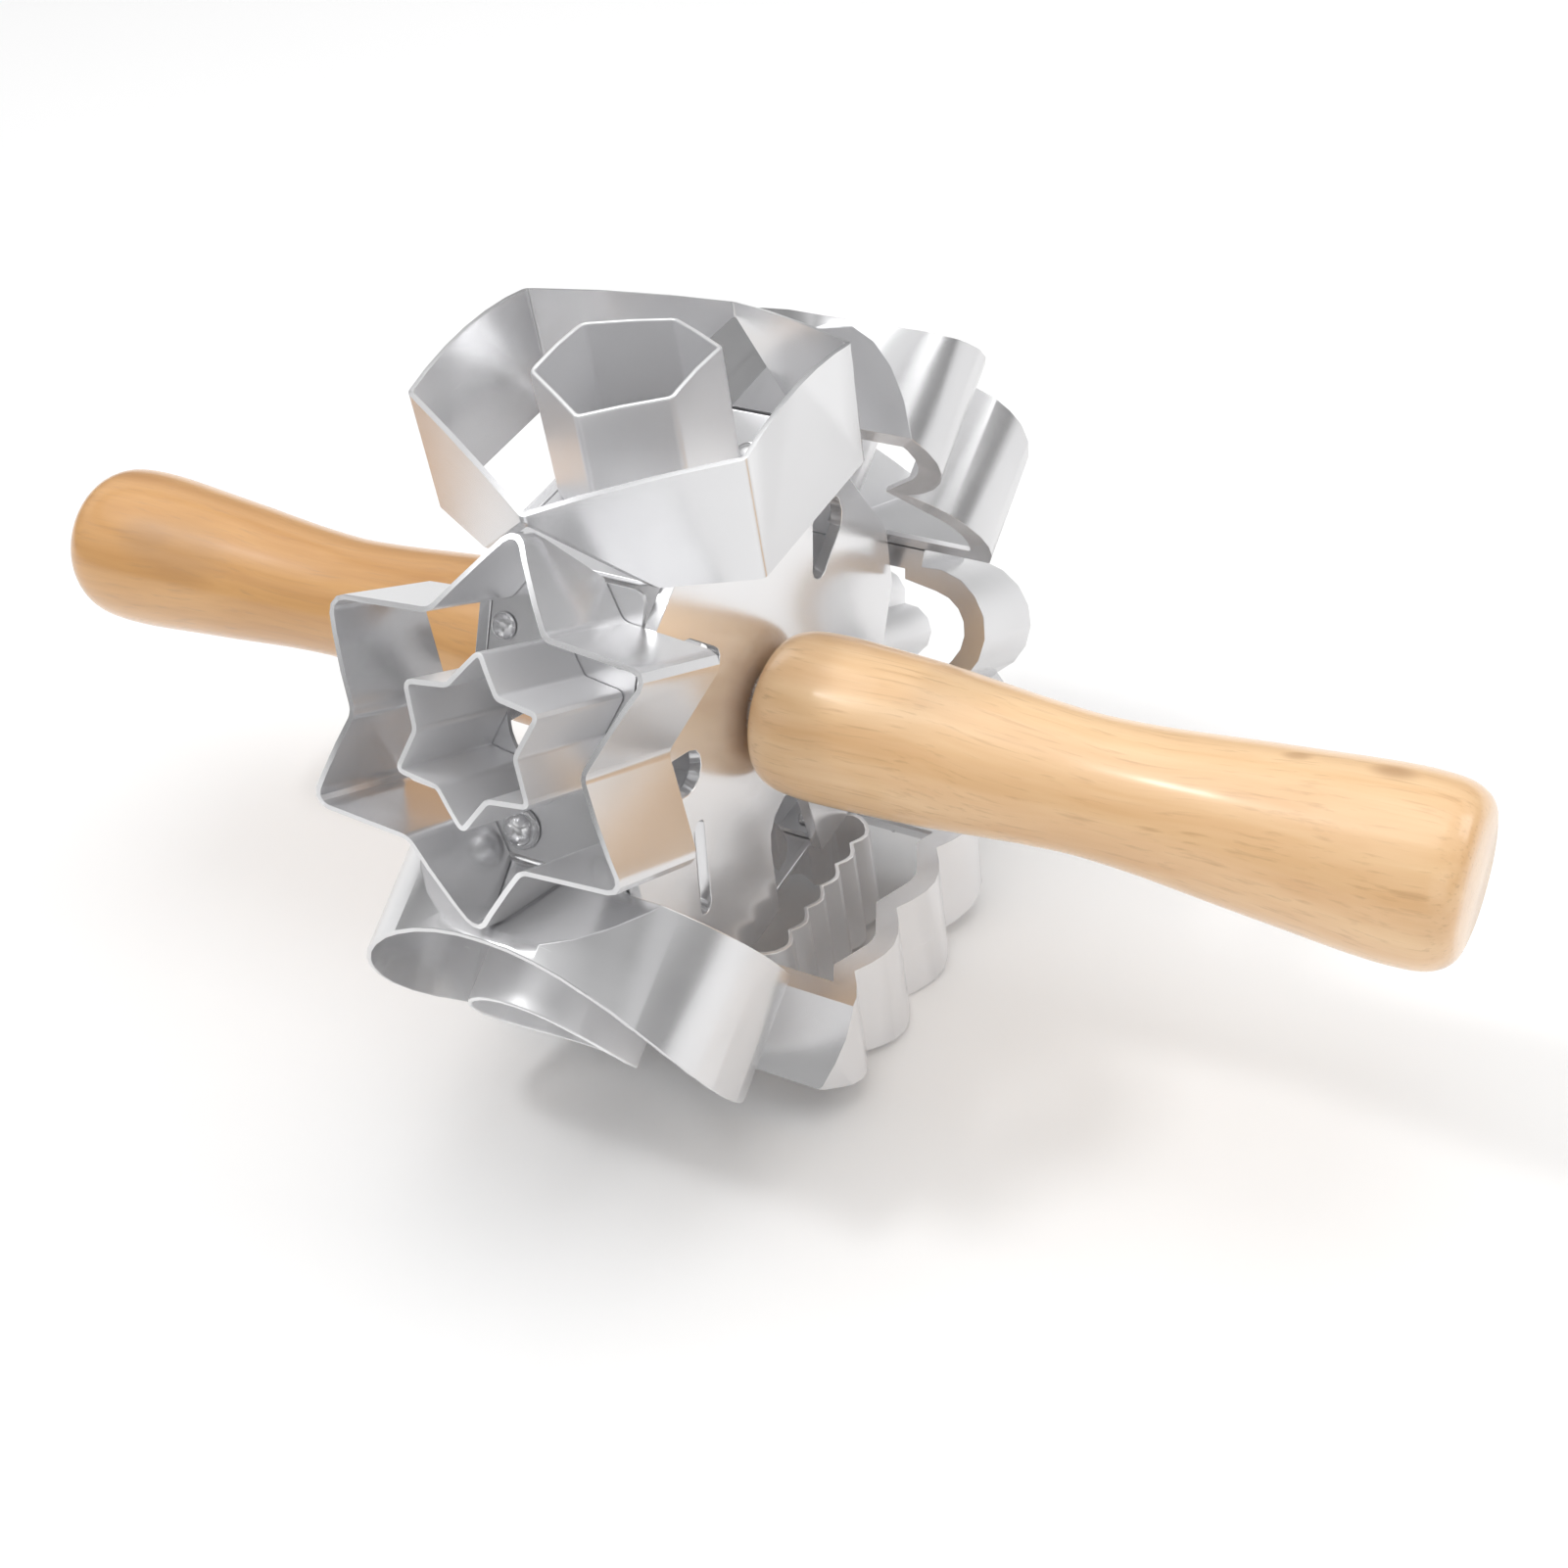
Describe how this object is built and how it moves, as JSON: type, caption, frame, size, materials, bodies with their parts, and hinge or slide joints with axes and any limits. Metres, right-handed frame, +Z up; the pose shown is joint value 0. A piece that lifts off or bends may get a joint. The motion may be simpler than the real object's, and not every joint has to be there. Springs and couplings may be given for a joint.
{
  "type": "doughnut_cutter_roller",
  "caption": "A rolling doughnut cutter: a hexagonal steel drum of shaped ring cutters that turns on an axle between two turned wooden handles.",
  "frame": {"origin": "On the table under the middle of the drum, with the fluted square cutter down and the hexagon cutter up.", "axes": "X runs along the axle to the right handle, Y runs from the star and round cutters to the heart and flower cutters, and Z is up."},
  "size_m": [0.298, 0.144, 0.144],
  "materials": {
    "blade_steel": "satin stainless sheet with bright rolling rims",
    "polished_steel": "polished stainless sheet and rivets",
    "axle_steel": "plain drawn steel",
    "handle_wood": "turned light hardwood under clear lacquer"
  },
  "bodies": {
    "handle_set": {"thrust_washer_left": "axle_steel", "handle_left": "handle_wood", "thrust_washer_right": "axle_steel", "handle_right": "handle_wood", "axle_rod": "axle_steel"},
    "drum": {"hexagon_outer_blade": "blade_steel", "hexagon_inner_blade": "blade_steel", "hexagon_panel": "blade_steel", "hexagon_rivet_1": "polished_steel", "hexagon_rivet_2": "polished_steel", "hexagon_rivet_3": "polished_steel", "hexagon_rivet_4": "polished_steel", "star_outer_blade": "blade_steel", "star_inner_blade": "blade_steel", "star_panel": "blade_steel", "star_rivet_1": "polished_steel", "star_rivet_2": "polished_steel", "star_rivet_3": "polished_steel", "star_rivet_4": "polished_steel", "round_outer_blade": "blade_steel", "round_inner_blade": "blade_steel", "round_panel": "blade_steel", "round_rivet_1": "polished_steel", "round_rivet_2": "polished_steel", "round_rivet_3": "polished_steel", "round_rivet_4": "polished_steel", "square_outer_blade": "blade_steel", "square_inner_blade": "blade_steel", "square_panel": "blade_steel", "square_rivet_1": "polished_steel", "square_rivet_2": "polished_steel", "square_rivet_3": "polished_steel", "square_rivet_4": "polished_steel", "flower_outer_blade": "blade_steel", "flower_inner_blade": "blade_steel", "flower_panel": "blade_steel", "flower_rivet_1": "polished_steel", "flower_rivet_2": "polished_steel", "flower_rivet_3": "polished_steel", "flower_rivet_4": "polished_steel", "heart_outer_blade": "blade_steel", "heart_inner_blade": "blade_steel", "heart_panel": "blade_steel", "heart_rivet_1": "polished_steel", "heart_rivet_2": "polished_steel", "heart_rivet_3": "polished_steel", "heart_rivet_4": "polished_steel", "star_stud": "polished_steel", "end_plate_left": "polished_steel", "hub_bush_left": "axle_steel", "end_plate_right": "polished_steel", "hub_bush_right": "axle_steel", "spacer_tube": "axle_steel"}
  },
  "joints": [
    {"name": "drum_spin", "type": "hinge", "parent": "handle_set", "child": "drum", "pos_m": [0, 0, 0.072], "axis": [1, 0, 0], "continuous": true}
  ]
}
